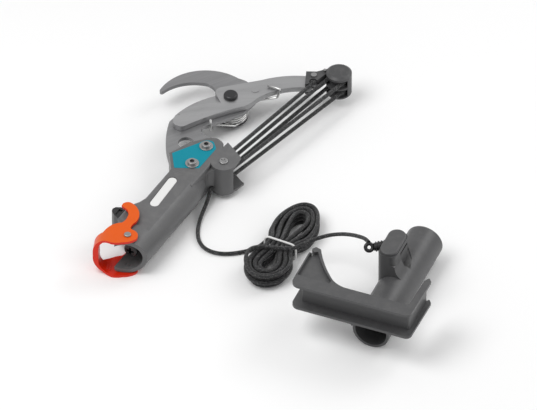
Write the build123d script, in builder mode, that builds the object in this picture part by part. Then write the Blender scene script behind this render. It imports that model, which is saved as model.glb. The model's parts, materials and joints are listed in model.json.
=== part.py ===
from build123d import *
import math
import os

os.makedirs("parts", exist_ok=True)

# Cord-operated tree pruner head, with its pull cord and pull grip, in millimetres.
# The origin is the free end of the spigot inside the pole socket. +Y runs along the
# socket towards the blades, +Z is up, and the middle of the hook blade is at z = 0.

# Driving dimensions of the head
tube_radius = 20.5
socket_bore_radius = 16.25
socket_depth = 87.0
spigot_radius = 7.5
spigot_length = 86.0
spigot_root_radius = 6.5
spigot_root_end = 95.0
flat_height = 17.5
block_half = 17.0
panel_seat = 15.0
panel_top = 17.4
floor = -23.5

# Driving dimensions of the blades
plate_half = 2.0
lever_under = 2.3
lever_over = 8.3
pivot = (-25.0, 242.3)
pivot_radius = 4.0
running_gap = 0.06

# Driving dimensions of the rope blocks
cord_radius = 2.0
lower_axle_at = (23.3, 144.9)
upper_axle_at = (55.5, 321.0)
pitch_radius = 8.0
flange_radius = 9.8
pulley_width = 8.2
axle_radius = 2.5
groove_radius = 2.35
cheek_radius = 13.0
well_radius = 10.8
lower_levels = (10.0, 0.0, -10.0)
upper_levels = (8.0, -3.5)

# Driving dimensions of the grip, in the grip's own axes
grip_angle = 8.0
grip_at = (264.9, 19.18, -4.2)
sleeve_radius = 19.3
sleeve_bore = 16.5
sleeve_length = 145.0
frame_low = 16.5
frame_high = 48.0
flange = 3.0


def direction(degrees):
    """Unit step in plan at an angle from +X."""
    return (math.cos(math.radians(degrees)), math.sin(math.radians(degrees)))


def finish(builder, name):
    """Label a finished piece and write it to its own file."""
    builder.part.label = name
    export_step(builder.part, f"parts/{name}.step")


def level(z):
    return Plane.XY.offset(z)


def upright(x, y, z, radius, height):
    """A plain round bar standing on (x, y, z)."""
    return Pos(x, y, z + height / 2) * Cylinder(radius, height, mode=Mode.PRIVATE)


# Rope geometry shared by both blocks
run = (upper_axle_at[0] - lower_axle_at[0], upper_axle_at[1] - lower_axle_at[1])
run_angle = math.degrees(math.atan2(run[1], run[0]))
closed_run_angle = run_angle - 29.9
to_right = direction(run_angle - 90)

# Hook blade: a flat hooked plate with its tang in the body
hook_hole = (-32.0, 165.2, 8.25)
screw_at = [(-2.4, 126.3), (-3.1, 155.6)]
screw_radius = 2.5

with BuildPart() as hook_blade:
    with BuildSketch(level(-plate_half)):
        with BuildLine():
            ThreePointArc((-95.2, 222.0), (-80.7, 261.5), (-35.3, 275.6))
            ThreePointArc((-35.3, 275.6), (-10.5, 268.0), (-3.0, 254.0))
            Polyline((-3.0, 254.0), (-4.5, 233.5), (-22.6, 204.7), (-26.0, 199.0))
            ThreePointArc((-26.0, 199.0), (-29.4, 191.6), (-27.0, 186.8))
            Polyline((-27.0, 186.8), (-15.5, 182.2), (-5.0, 171.0), (12.0, 163.0), (12.0, 106.0))
            Polyline((12.0, 106.0), (-12.0, 106.0), (-24.5, 122.6), (-41.0, 141.5))
            ThreePointArc((-41.0, 141.5), (-53.8, 162.3), (-62.4, 183.5))
            ThreePointArc((-62.4, 183.5), (-62.0, 189.5), (-60.5, 194.5))
            ThreePointArc((-60.5, 194.5), (-52.9, 219.0), (-41.8, 240.5))
            ThreePointArc((-41.8, 240.5), (-47.7, 249.7), (-58.0, 253.0))
            ThreePointArc((-58.0, 253.0), (-79.4, 241.6), (-91.2, 221.0))
            ThreePointArc((-91.2, 221.0), (-93.4, 219.4), (-95.2, 222.0))
        make_face()
        with Locations(hook_hole[:2]):
            Circle(hook_hole[2], mode=Mode.SUBTRACT)
        with Locations(pivot):
            Circle(pivot_radius, mode=Mode.SUBTRACT)
        with Locations(screw_at):
            Circle(screw_radius, mode=Mode.SUBTRACT)
    extrude(amount=2 * plate_half)
finish(hook_blade, "hook_blade")

# Cord path of the pull cord near the head, needed for the outlet in the body
lead_turn = 19.0
lead_angle = run_angle + 90 + lead_turn
lead_from = (
    lower_axle_at[0] + pitch_radius * direction(lead_angle)[0],
    lower_axle_at[1] + pitch_radius * direction(lead_angle)[1],
    lower_levels[2],
)
lead_way = direction(lead_angle + 90)
outlet = (lead_from[0] + 15 * lead_way[0], lead_from[1] + 15 * lead_way[1], lower_levels[2])

# Body: socket tube, head block and pulley housing in one moulding
block_outline = [
    (-17.0, 98.0), (-18.0, 111.0), (-31.5, 130.0), (-21.7, 154.0), (-7.3, 171.0), (0.0, 173.5),
    (8.5, 170.5), (14.0, 160.0), (14.0, 98.0),
]
ear_outline = [
    (-18.0, 104.0), (-18.0, 60.0), (-20.5, 52.0), (-26.7, 42.0), (-26.7, 20.0), (-20.0, 17.0),
    (0.0, 17.0), (0.0, 104.0),
]
mouth_corner = (-11.2, -13.8)
mouth_slope = 0.42
left_cut = -9.5
left_cut_end = 17.0
plate_centre = (-6.0, 75.5)
plate_size = (47.0, 9.2)
plate_rim = 1.0
plate_turn = 92.7
plate_seat = 16.5
plate_thick = 0.5
rivet_at = (-1.0, -4.0)
rivet_radius = 2.3

with BuildPart() as ear:
    with BuildSketch(level(-13.5)):
        with BuildLine():
            Polyline(*ear_outline, close=True)
        make_face()
    extrude(amount=flat_height + 13.5)
    top_rim = ear.faces().sort_by(Axis.Z)[-1].edges()
    fillet(top_rim.filter_by(lambda e: e.center().X < -18.0 or abs(e.center().X + 18) < 0.1), radius=4.0)

with BuildPart() as head_block:
    with BuildSketch(level(-block_half)):
        with BuildLine():
            Polyline(*block_outline, close=True)
        make_face()
        fillet([v for v in vertices() if v.Y > 150], radius=6)
    extrude(amount=2 * block_half)
    rims = head_block.edges().filter_by(Axis.Z, reverse=True).filter_by(lambda e: e.center().Y > 100)
    fillet(rims, radius=2.2)

with BuildPart() as socket_body:
    # tube, coned down into the head block
    with BuildSketch(Plane.YZ):
        with BuildLine():
            Polyline((-16, 0), (-16, tube_radius), (102, tube_radius), (121, 16.0), (121, 0), close=True)
        make_face()
    revolve(axis=Axis.Y)
    # flat top
    with BuildSketch(level(flat_height)):
        with Locations((0, 70)):
            Rectangle(60, 106)
    extrude(amount=10, mode=Mode.SUBTRACT)
    add(ear.part)
    add(head_block.part)
    # pulley housing
    with BuildSketch(level(-block_half)):
        with Locations(lower_axle_at):
            Circle(cheek_radius)
        with BuildLine():
            Polyline(
                (12.0, 140.0), (10.4, 146.5), (12.6, 172.0), (35.4, 159.0), (36.3, 145.5), (23.3, 140.0), close=True
            )
        make_face()
    extrude(amount=2 * block_half)
    # hollow corner between tube and housing
    with BuildSketch(level(-12.5)):
        with BuildLine():
            Line((21.2, 133.0), (12.0, 140.0))
            Line((12.0, 140.0), (12.0, 122.0))
            Line((12.0, 122.0), (14.8, 124.0))
            ThreePointArc((14.8, 124.0), (16.4, 130.2), (21.2, 133.0))
        make_face()
    extrude(amount=25)
    # well for the pulleys, open towards the rope
    left_side = direction(run_angle + 90)
    right_side = direction(closed_run_angle - 90)
    ahead = direction(run_angle)
    ahead_closed = direction(closed_run_angle)
    half_gap = 11.4
    near_left = (lower_axle_at[0] + half_gap * left_side[0], lower_axle_at[1] + half_gap * left_side[1])
    near_right = (lower_axle_at[0] + half_gap * right_side[0], lower_axle_at[1] + half_gap * right_side[1])
    reach = 60.0
    with BuildSketch(level(-14.5)):
        with Locations(lower_axle_at):
            Circle(well_radius)
        with BuildLine():
            Polyline(
                lower_axle_at,
                near_left,
                (near_left[0] + reach * ahead[0], near_left[1] + reach * ahead[1]),
                (near_right[0] + reach * ahead_closed[0], near_right[1] + reach * ahead_closed[1]),
                near_right,
                close=True,
            )
        make_face()
    extrude(amount=29, mode=Mode.SUBTRACT)
    # lower ear reaches a little further than the upper one
    with BuildSketch(level(-block_half)):
        with BuildLine():
            Polyline((24, 150), (24.0, 165.5), (35.4, 159.0), (39.5, 157.5), (37.5, 147.0), (36, 144), close=True)
        make_face()
    extrude(amount=2.5)
    # bore, open mouth, slot for the hook blade and seats for plate, panels and screws
    with BuildSketch(Plane.XZ.offset(20)):
        Circle(socket_bore_radius)
    extrude(amount=-(20 + socket_depth), mode=Mode.SUBTRACT)
    with BuildSketch(Plane.XZ.offset(-socket_depth)):
        Circle(spigot_root_radius)
    extrude(amount=socket_depth - spigot_root_end, mode=Mode.SUBTRACT)
    with BuildSketch(level(-40)):
        with BuildLine():
            Polyline(
                (-60, mouth_corner[1] - 60 * mouth_slope),
                (60, mouth_corner[1] + (60 - mouth_corner[0]) * mouth_slope),
                (60, -60),
                (-60, -60),
                close=True,
            )
        make_face()
        with Locations((left_cut - 20, left_cut_end - 30)):
            Rectangle(40, 60)
    extrude(amount=80, mode=Mode.SUBTRACT)
    with BuildSketch(level(plate_seat)):
        with Locations(Location((*plate_centre, 0), plate_turn)):
            SlotOverall(plate_size[0] + plate_rim, plate_size[1] + plate_rim)
    extrude(amount=6, mode=Mode.SUBTRACT)
    add(hook_blade.part, mode=Mode.SUBTRACT)
    for x, y in screw_at:
        add(upright(x, y, -30, screw_radius, 60), mode=Mode.SUBTRACT)
    add(upright(*lower_axle_at, -30, axle_radius, 60), mode=Mode.SUBTRACT)
    add(upright(*rivet_at, -30, rivet_radius, 60), mode=Mode.SUBTRACT)
    lead_plane = Plane(lead_from, z_dir=(lead_way[0], lead_way[1], 0))
    add(lead_plane * Pos(0, 0, 13) * Cylinder(2.7, 34, mode=Mode.PRIVATE), mode=Mode.SUBTRACT)
    # panel seats
    panel_outline = [(-28.0, 130.2), (-15.0, 112.0), (7.0, 124.0), (7.2, 158.0), (-1.0, 166.5), (-8.3, 163.6)]
    for seat in (panel_seat, -block_half - 1):
        with BuildSketch(level(seat)):
            with BuildLine():
                Polyline(*panel_outline, close=True)
            make_face()
            fillet([v for v in vertices() if v.Y > 140], radius=5)
            fillet([v for v in vertices() if v.Y < 131], radius=1.5)
        extrude(amount=block_half + 1 - panel_seat, mode=Mode.SUBTRACT)
finish(socket_body, "socket_body")
print("socket_body solids", len(socket_body.part.solids()), "volume", round(socket_body.part.volume))

# Spigot inside the socket, with a cross recess in its end
with BuildPart() as socket_spigot:
    with BuildSketch(Plane.XZ):
        Circle(spigot_radius)
    extrude(amount=-spigot_length)
    with BuildSketch(Plane.XZ.offset(-spigot_length)):
        Circle(spigot_root_radius)
    extrude(amount=spigot_length - spigot_root_end)
    with BuildSketch(Plane.XZ):
        Circle(spigot_radius)
    extrude(amount=1.0, taper=45)
    with BuildSketch(Plane.XZ.offset(1.0)):
        Rectangle(8.5, 2.4)
        Rectangle(2.4, 8.5)
    extrude(amount=-5, mode=Mode.SUBTRACT)
finish(socket_spigot, "socket_spigot")

# Bare plate on the flat of the tube
with BuildPart() as label_plate:
    with BuildSketch(level(plate_seat)):
        with Locations(Location((*plate_centre, 0), plate_turn)):
            SlotOverall(*plate_size)
    extrude(amount=plate_thick)
finish(label_plate, "label_plate")

# Side panels with their screws, washers and nuts
for name, low in (("side_panel_upper", panel_seat), ("side_panel_lower", -panel_top)):
    with BuildPart() as panel:
        with BuildSketch(level(low)):
            with BuildLine():
                Polyline(*panel_outline, close=True)
            make_face()
            fillet([v for v in vertices() if v.Y > 140], radius=5)
            fillet([v for v in vertices() if v.Y < 131], radius=1.5)
            with Locations(screw_at):
                Circle(screw_radius, mode=Mode.SUBTRACT)
        extrude(amount=panel_top - panel_seat)
        outer = panel.faces().sort_by(Axis.Z)[-1 if low > 0 else 0]
        fillet(outer.outer_wire().edges(), radius=0.5)
    finish(panel, name)

washer_radius = 7.0
washer_thick = 1.1
head_radius = 4.6
head_height = 2.6
nut_height = 3.6

with BuildPart() as panel_washers:
    with BuildSketch(level(panel_top)):
        with Locations(screw_at):
            Circle(washer_radius)
            Circle(screw_radius, mode=Mode.SUBTRACT)
    extrude(amount=washer_thick)
    fillet(panel_washers.edges().group_by(Axis.Z)[-1].filter_by(lambda e: e.length > 30), radius=0.4)
finish(panel_washers, "panel_washers")

with BuildPart() as panel_screws:
    with BuildSketch(level(-panel_top - nut_height)):
        with Locations(screw_at):
            Circle(screw_radius)
    extrude(amount=2 * panel_top + nut_height + washer_thick)
    with BuildSketch(level(panel_top + washer_thick)):
        with Locations(screw_at):
            Circle(head_radius)
    extrude(amount=head_height)
    fillet(panel_screws.edges().group_by(Axis.Z)[-1], radius=0.5)
    with BuildSketch(level(panel_top + washer_thick + head_height)):
        with Locations(screw_at):
            RegularPolygon(2.6, 6)
    extrude(amount=-2.0, mode=Mode.SUBTRACT)
finish(panel_screws, "panel_screws")

with BuildPart() as panel_nuts:
    with BuildSketch(level(-panel_top - nut_height)):
        with Locations(screw_at):
            RegularPolygon(4.6, 6)
            Circle(screw_radius, mode=Mode.SUBTRACT)
    extrude(amount=nut_height)
finish(panel_nuts, "panel_nuts")

# Pivot bolt with a domed head, and the spring cup with its nut below
bolt_head_radius = 7.2
bolt_seat = 8.6
cup_top = -16.9
cup_bottom = -18.4
with BuildPart() as pivot_bolt:
    with BuildSketch(level(-22.4)):
        with Locations(pivot):
            Circle(pivot_radius)
    extrude(amount=22.4 + bolt_seat)
    with BuildSketch(level(bolt_seat)):
        with Locations(pivot):
            Circle(bolt_head_radius)
    extrude(amount=3.4)
    fillet(pivot_bolt.edges().group_by(Axis.Z)[-1], radius=2.4)
finish(pivot_bolt, "pivot_bolt")

with BuildPart() as pivot_nut:
    with BuildSketch(level(cup_top)):
        with Locations(pivot):
            Circle(11.5)
            Circle(pivot_radius, mode=Mode.SUBTRACT)
    extrude(amount=-plate_half - cup_top)
    with BuildSketch(level(cup_bottom)):
        with Locations(pivot):
            Circle(17.5)
            Circle(pivot_radius, mode=Mode.SUBTRACT)
    extrude(amount=cup_top - cup_bottom)
    with BuildSketch(level(floor)):
        with Locations(pivot):
            RegularPolygon(7.5, 6)
            Circle(pivot_radius, mode=Mode.SUBTRACT)
    extrude(amount=cup_bottom - floor)
finish(pivot_nut, "pivot_nut")


def arc_pair(p0, t0, p1, t1):
    """Middle point and its direction for two arcs that join p0 along t0 to p1 along t1."""
    v = p1 - p0
    both = v.dot(t0 + t1)
    turn = 2 * (1 - t0.dot(t1))
    if turn < 1e-9:
        d = v.dot(v) / (4 * v.dot(t1))
    else:
        d = (-both + math.sqrt(both * both + turn * v.dot(v))) / turn
    a = p0 + t0 * d
    b = p1 - t1 * d
    return (a + b) * 0.5, (b - a).normalized()


def arcs_through(stations):
    """Edges of smooth arcs through (point, direction) stations."""
    edges = []
    for (p0, t0), (p1, t1) in zip(stations, stations[1:]):
        middle, way = arc_pair(p0, t0, p1, t1)
        edges.append(Edge.make_tangent_arc(p0, t0, middle))
        edges.append(Edge.make_tangent_arc(middle, way, p1))
    return edges


def least_gap(edges, radius, step=1.2):
    """Least gap of a tube to itself, on points along its path."""
    points = []
    travelled = 0.0
    for edge in edges:
        count = max(2, int(edge.length / step))
        for k in range(count):
            points.append((travelled + edge.length * k / count, edge.position_at(k / count)))
        travelled += edge.length
    cell = 4 * radius
    grid = {}
    for s, p in points:
        grid.setdefault((int(p.X // cell), int(p.Y // cell), int(p.Z // cell)), []).append((s, p))
    least = 1e9
    where = None
    for (i, j, k), here in grid.items():
        for di in (-1, 0, 1):
            for dj in (-1, 0, 1):
                for dk in (-1, 0, 1):
                    for s, p in here:
                        for r, q in grid.get((i + di, j + dj, k + dk), []):
                            if s - r > 8 * radius:
                                apart = (p - q).length
                                if apart < least:
                                    least = apart
                                    where = (round(s), round(r), tuple(round(c, 1) for c in p))
    return least - 2 * radius, where


# Return spring: one wire with a leg over the lever and a leg on the hook blade
spring_radius = 16.3
spring_wire = 1.2
spring_pitch = 2.85
spring_first = -5.0
spring_last = -21.4 - 4 * 360
spring_top = -4.2


def spring_station(angle):
    turned = (spring_first - angle) / 360
    step = direction(angle)
    drop = spring_pitch / (2 * math.pi * spring_radius)
    return (
        Vector(
            pivot[0] + spring_radius * step[0],
            pivot[1] + spring_radius * step[1],
            spring_top - spring_pitch * turned,
        ),
        Vector(step[1], -step[0], -drop).normalized(),
    )


quarters = 16
spring_stations = [
    spring_station(spring_first + (spring_last - spring_first) * k / quarters) for k in range(quarters + 1)
]
coil_edges = arcs_through(spring_stations)
gap, where = least_gap(coil_edges, spring_wire)
print("return_spring least gap to itself", round(gap, 2))
start_point, start_way = spring_stations[0]
end_point, end_way = spring_stations[-1]
with BuildPart() as return_spring:
    with BuildLine():
        lever_leg = FilletPolyline(
            (0.5, 272.9, 10.2), (14.6, 274.6, 10.2), (12.6, 271.0, 1.0), (-6.5, 262.0, -4.2),
            start_point - start_way * 9, start_point,
            radius=2.6,
        )
        add(coil_edges)
        FilletPolyline(
            end_point, end_point + end_way * 8, (-27.5, 211.5, -7.0), (-24.4, 200.6, -6.2), (-23.9, 200.2, 9.0),
            radius=2.0,
        )
    with BuildSketch(Plane(lever_leg @ 0, z_dir=lever_leg % 0)):
        Circle(spring_wire)
    sweep()
finish(return_spring, "return_spring")
print("return_spring volume ratio", round(return_spring.part.volume / (math.pi * spring_wire**2), 1))

# Pulleys turn on plain axles; each has a round-bottomed groove for the cord


def pulley(name, centre, z):
    with BuildPart() as wheel:
        with BuildSketch(Plane.XZ):
            with BuildLine():
                Polyline(
                    (axle_radius + running_gap, -pulley_width / 2),
                    (flange_radius, -pulley_width / 2),
                    (flange_radius, pulley_width / 2),
                    (axle_radius + running_gap, pulley_width / 2),
                    close=True,
                )
            make_face()
            with Locations((pitch_radius, 0)):
                Circle(groove_radius, mode=Mode.SUBTRACT)
            with Locations((pitch_radius + groove_radius, 0)):
                Rectangle(2 * groove_radius, 2 * groove_radius, mode=Mode.SUBTRACT)
        revolve(axis=Axis.Z)
    wheel.part = Pos(*centre, z) * wheel.part
    wheel.part.label = name
    export_step(wheel.part, f"parts/{name}.step")


for number, z in enumerate(lower_levels, 1):
    pulley(f"lower_pulley_{number}", lower_axle_at, z)
for number, z in enumerate(upper_levels, 1):
    pulley(f"upper_pulley_{number}", upper_axle_at, z)

with BuildPart() as lower_axle:
    with BuildSketch(level(-block_half)):
        with Locations(lower_axle_at):
            Circle(axle_radius)
    extrude(amount=2 * block_half)
    with BuildSketch(level(block_half)):
        with Locations(lower_axle_at):
            Circle(4.4)
    extrude(amount=1.6)
    fillet(lower_axle.edges().group_by(Axis.Z)[-1], radius=0.6)
    with BuildSketch(level(block_half + 1.6)):
        with Locations(lower_axle_at):
            Rectangle(6.0, 1.2)
            Rectangle(1.2, 6.0)
    extrude(amount=-0.9, mode=Mode.SUBTRACT)
    with BuildSketch(level(-block_half)):
        with Locations(lower_axle_at):
            Circle(4.4)
    extrude(amount=-1.6)
finish(lower_axle, "lower_axle")


def wrap(centre, z, start, sweep_angle):
    """Cord lying in a pulley's groove, from an angle in plan through a sweep."""
    way = direction(start)
    with BuildPart() as piece:
        with BuildSketch(Plane((0, 0, 0), x_dir=(*way, 0), z_dir=(way[1], -way[0], 0))):
            with Locations((pitch_radius, 0)):
                Circle(cord_radius)
        revolve(axis=Axis.Z, revolution_arc=sweep_angle)
    return Pos(*centre, z) * piece.part


lower_turns = [
    wrap(lower_axle_at, z, run_angle + 90, sweep_angle)
    for z, sweep_angle in zip(lower_levels, (180, 180, lead_turn))
]
upper_turns = [wrap(upper_axle_at, z, run_angle - 90, 180) for z in upper_levels]

with BuildPart() as lower_wraps:
    add(lower_turns)
finish(lower_wraps, "lower_wraps")

with BuildPart() as upper_wraps:
    add(upper_turns)
finish(upper_wraps, "upper_wraps")

# Rope of the tackle: five straight runs between the blocks
knot_at = (38.2, 298.8, 10.4)
run_gap = 0.45
tackle_runs = [
    ((-1, lower_levels[0]), None),
    ((-1, lower_levels[1]), (-1, upper_levels[0])),
    ((-1, lower_levels[2]), (-1, upper_levels[1])),
    ((1, lower_levels[0]), (1, upper_levels[0])),
    ((1, lower_levels[1]), (1, upper_levels[1])),
]


def tangent_point(centre, side, z):
    shift = side * pitch_radius
    return Vector(centre[0] + shift * to_right[0], centre[1] + shift * to_right[1], z)


for number, (low, high) in enumerate(tackle_runs, 1):
    start = tangent_point(lower_axle_at, *low)
    end = tangent_point(upper_axle_at, *high) if high else Vector(knot_at)
    way = (end - start).normalized()
    spare = run_gap if high else 3.8
    start = start + way * run_gap
    end = end - way * spare
    with BuildPart() as strand:
        with BuildSketch(Plane(start, z_dir=way)):
            Circle(cord_radius)
        extrude(amount=(end - start).length)
    finish(strand, f"strand_{number}")

knot_pocket = 4.0
block_screw_at = [(34.6, 306.6), (40.8, 317.8)]
block_screw_radius = 1.6
strand_gate = Vector(knot_at) - tangent_point(lower_axle_at, -1, lower_levels[0])
strand_gate_angle = math.degrees(math.atan2(strand_gate.Y, strand_gate.X))

knot_gate = (
    Pos(*knot_at)
    * Rot(0, 0, strand_gate_angle)
    * Pos(-10, 0, 0)
    * Rot(0, 90, 0)
    * Cylinder(2.7, 20)
)

# Blade lever: cutting blade below the pivot, lever arm above it
bevel_centre = (24.2, 183.5)
bevel_inner = 69.0
bevel_outer = 86.8
bevel_from = 139.5
bevel_sweep = 31.5
tip_grind = [(-66.0, 200.0), (-60.0, 197.6), (-53.5, 196.6), (-57.2, 187.2), (-66.0, 186.0)]
edge_rest = 0.6
with BuildPart() as blade_lever:
    with BuildSketch(level(lever_under)):
        with BuildLine():
            Line((-59.5, 191.0), (-57.6, 183.4))
            ThreePointArc((-57.6, 183.4), (-54.5, 178.8), (-49.0, 177.2))
            ThreePointArc((-49.0, 177.2), (-45.3, 177.8), (-42.5, 180.5))
            ThreePointArc((-42.5, 180.5), (-25.1, 210.8), (-5.2, 237.0))
            ThreePointArc((-5.2, 237.0), (-3.0, 241.5), (-1.8, 246.4))
            ThreePointArc((-1.8, 246.4), (10.4, 273.1), (33.4, 291.3))
            Polyline((33.4, 291.3), (38.8, 293.6), (40.6, 303.5), (33.5, 310.0), (26.0, 306.9))
            ThreePointArc((26.0, 306.9), (6.5, 295.4), (-10.0, 279.3))
            Polyline((-10.0, 279.3), (-27.6, 261.9), (-40.4, 248.8))
            ThreePointArc((-40.4, 248.8), (-42.2, 244.8), (-41.3, 240.1))
            ThreePointArc((-41.3, 240.1), (-54.3, 220.0), (-61.8, 193.5))
            Line((-61.8, 193.5), (-59.5, 191.0))
        make_face()
        with Locations(pivot):
            Circle(pivot_radius + running_gap, mode=Mode.SUBTRACT)
        with Locations(knot_at[:2]):
            Circle(knot_pocket, mode=Mode.SUBTRACT)
        with Locations(block_screw_at[0]):
            Circle(block_screw_radius, mode=Mode.SUBTRACT)
    extrude(amount=lever_over - lever_under)
    add(knot_gate, mode=Mode.SUBTRACT)
    bevel_way = direction(bevel_from)
    with BuildSketch(Plane((*bevel_centre, 0), x_dir=(*bevel_way, 0), z_dir=(bevel_way[1], -bevel_way[0], 0))):
        with BuildLine():
            Polyline(
                (bevel_inner, lever_over),
                (bevel_outer, lever_under + edge_rest),
                (bevel_outer + 8, lever_under + edge_rest),
                (bevel_outer + 8, lever_over + 2),
                (bevel_inner, lever_over + 2),
                close=True,
            )
        make_face()
    bevel_axis = Axis(origin=(*bevel_centre, 0), direction=(0, 0, 1))
    revolve(axis=bevel_axis, revolution_arc=bevel_sweep, mode=Mode.SUBTRACT)
    # the grind runs out at the tip
    with BuildSketch(level(lever_under + edge_rest)):
        with BuildLine():
            Polyline(*tip_grind, close=True)
        make_face()
    extrude(amount=lever_over, mode=Mode.SUBTRACT)
    # raised oval on the arm
    with BuildSketch(level(lever_over)):
        with Locations(Location((-7.5, 262.5, 0), 50)):
            Ellipse(4.6, 3.0)
    extrude(amount=0.5)
finish(blade_lever, "blade_lever")
print("blade_lever volume", round(blade_lever.part.volume), blade_lever.part.bounding_box())

# Upper block: two shells clamped on the lever's end, with a separating plate between the pulleys
clamp_outline = [
    (24.6, 308.4), (33.2, 291.0), (34.9, 291.9), (41.6, 304.0), (43.4, 313.8), (47.5, 320.0), (47.5, 330.5),
    (34.0, 313.4),
]
shell_split = 3.5
well_low = -8.0
well_high = 12.6
cap_top = 15.2
axle_seat_top = 14.2
bottom_shell_low = -10.5
swing_in_block = 27.1


open_half = 10.6
open_reach = 40.0


def away(start, degrees, distance):
    step = direction(degrees)
    return (start[0] + distance * step[0], start[1] + distance * step[1])


mouth_left = away(upper_axle_at, run_angle + 90, open_half)
mouth_right = away(upper_axle_at, run_angle - 90 + swing_in_block, open_half)
mouth_outline = [
    upper_axle_at,
    mouth_left,
    away(mouth_left, run_angle + 180, open_reach),
    away(mouth_right, run_angle + 180 + swing_in_block, open_reach),
    mouth_right,
]
with BuildPart() as upper_block_top:
    # clamp over the lever
    with BuildSketch(level(lever_over)):
        with BuildLine():
            Polyline(*clamp_outline, close=True)
        make_face()
    extrude(amount=13.0 - lever_over)
    # round part with its cap
    with BuildSketch(level(shell_split)):
        with Locations(upper_axle_at):
            Circle(cheek_radius)
    extrude(amount=cap_top - shell_split)
    with BuildSketch(level(cap_top)):
        with Locations(upper_axle_at):
            Circle(cheek_radius)
    extrude(amount=2.0, taper=52)
    with BuildSketch(level(shell_split)):
        with Locations(upper_axle_at):
            Circle(well_radius)
        with BuildLine():
            Polyline(*mouth_outline, close=True)
        make_face()
    extrude(amount=well_high - shell_split, mode=Mode.SUBTRACT)
    # neck between round and clamp
    with BuildSketch(level(shell_split)):
        with BuildLine():
            Polyline((34.0, 313.5), (35.6, 310.9), (41.8, 306.0), (43.2, 313.0), (43.0, 325.0), (45.0, 329.0), close=True)
        make_face()
        with Locations(upper_axle_at):
            Circle(well_radius, mode=Mode.SUBTRACT)
    extrude(amount=lever_over - shell_split + 1)
    with BuildSketch(level(lever_over + 4.7)):
        with Locations(knot_at[:2]):
            Circle(knot_pocket)
    extrude(amount=-20, mode=Mode.SUBTRACT)
    add(knot_gate, mode=Mode.SUBTRACT)
    add(blade_lever.part, mode=Mode.SUBTRACT)
    for x, y in block_screw_at:
        add(upright(x, y, -30, block_screw_radius, 60), mode=Mode.SUBTRACT)
    add(upright(*upper_axle_at, -30, axle_radius, 30 + axle_seat_top), mode=Mode.SUBTRACT)
finish(upper_block_top, "upper_block_top")
print("upper_block_top solids", len(upper_block_top.part.solids()), round(upper_block_top.part.volume))

with BuildPart() as upper_block_bottom:
    # clamp under the lever
    with BuildSketch(level(lever_under - 3.0)):
        with BuildLine():
            Polyline(*clamp_outline, close=True)
        make_face()
    extrude(amount=3.0)
    # plate between the pulleys and floor of the lower one
    with BuildSketch(level(bottom_shell_low)):
        with Locations(upper_axle_at):
            Circle(cheek_radius)
    extrude(amount=shell_split - bottom_shell_low)
    bottom_rim = upper_block_bottom.edges().group_by(Axis.Z)[0]
    fillet(bottom_rim, radius=1.5)
    with BuildSketch(level(well_low)):
        with Locations(upper_axle_at):
            Circle(well_radius)
        with BuildLine():
            Polyline(*mouth_outline, close=True)
        make_face()
    extrude(amount=1.4 - well_low, mode=Mode.SUBTRACT)
    with Locations((knot_at[0], knot_at[1], 0)):
        Cylinder(knot_pocket, 60, mode=Mode.SUBTRACT)
    for x, y in block_screw_at:
        add(upright(x, y, -30, block_screw_radius, 60), mode=Mode.SUBTRACT)
    add(upright(*upper_axle_at, -30, axle_radius, 60), mode=Mode.SUBTRACT)
    add(blade_lever.part, mode=Mode.SUBTRACT)
    add(upper_block_top.part, mode=Mode.SUBTRACT)
finish(upper_block_bottom, "upper_block_bottom")
print("upper_block_bottom solids", len(upper_block_bottom.part.solids()))

with BuildPart() as upper_axle:
    with BuildSketch(level(bottom_shell_low)):
        with Locations(upper_axle_at):
            Circle(axle_radius)
    extrude(amount=axle_seat_top - bottom_shell_low)
finish(upper_axle, "upper_axle")

with BuildPart() as block_screws:
    for (x, y), top in zip(block_screw_at, (13.0, cap_top)):
        with BuildSketch(level(lever_under - 3.0)):
            with Locations((x, y)):
                Circle(block_screw_radius)
        extrude(amount=top + 3.0 - lever_under)
    with BuildSketch(level(13.0)):
        with Locations(block_screw_at[0]):
            Circle(3.0)
    extrude(amount=1.6)
finish(block_screws, "block_screws")

with BuildPart() as dead_end_knot:
    with Locations(knot_at):
        Sphere(3.2)
    with Locations((knot_at[0], knot_at[1], knot_at[2] + 2.4)):
        Sphere(2.0)
finish(dead_end_knot, "dead_end_knot")

# Lock: a lug on the tube, and a hooked bow that swings on two short rivets
lug_outline = [
    (-26.7, 22.0), (-34.0, 25.5), (-38.6, 29.0), (-39.8, 32.5), (-38.2, 36.0), (-34.0, 38.2), (-26.7, 39.5),
]
lug_low = -9.0
lug_high = 13.0
with BuildPart() as lock_lug:
    with BuildSketch(level(lug_low)):
        with BuildLine():
            Polyline(*lug_outline, close=True)
        make_face()
        fillet([v for v in vertices() if v.X < -30], radius=1.5)
    extrude(amount=lug_high - lug_low)
    with BuildSketch(level(lug_high)):
        with Locations((-31.5, 31.0)):
            Rectangle(4.0, 9.0)
    extrude(amount=-1.5, mode=Mode.SUBTRACT)
finish(lock_lug, "lock_lug")

arm_top = 23.5
arm_thick = 2.7
bow_angle = 203.5
bow_way = direction(bow_angle)
bow_reach = 34.3
bow_round = 20.0
window_reach = 28.5
window_round = 12.5


def beside_bow(s, w):
    """Plan point at s along the bow's reach and w across it, towards the pole."""
    return (
        rivet_at[0] + s * bow_way[0] - w * bow_way[1],
        rivet_at[1] + s * bow_way[1] + w * bow_way[0],
    )


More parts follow.
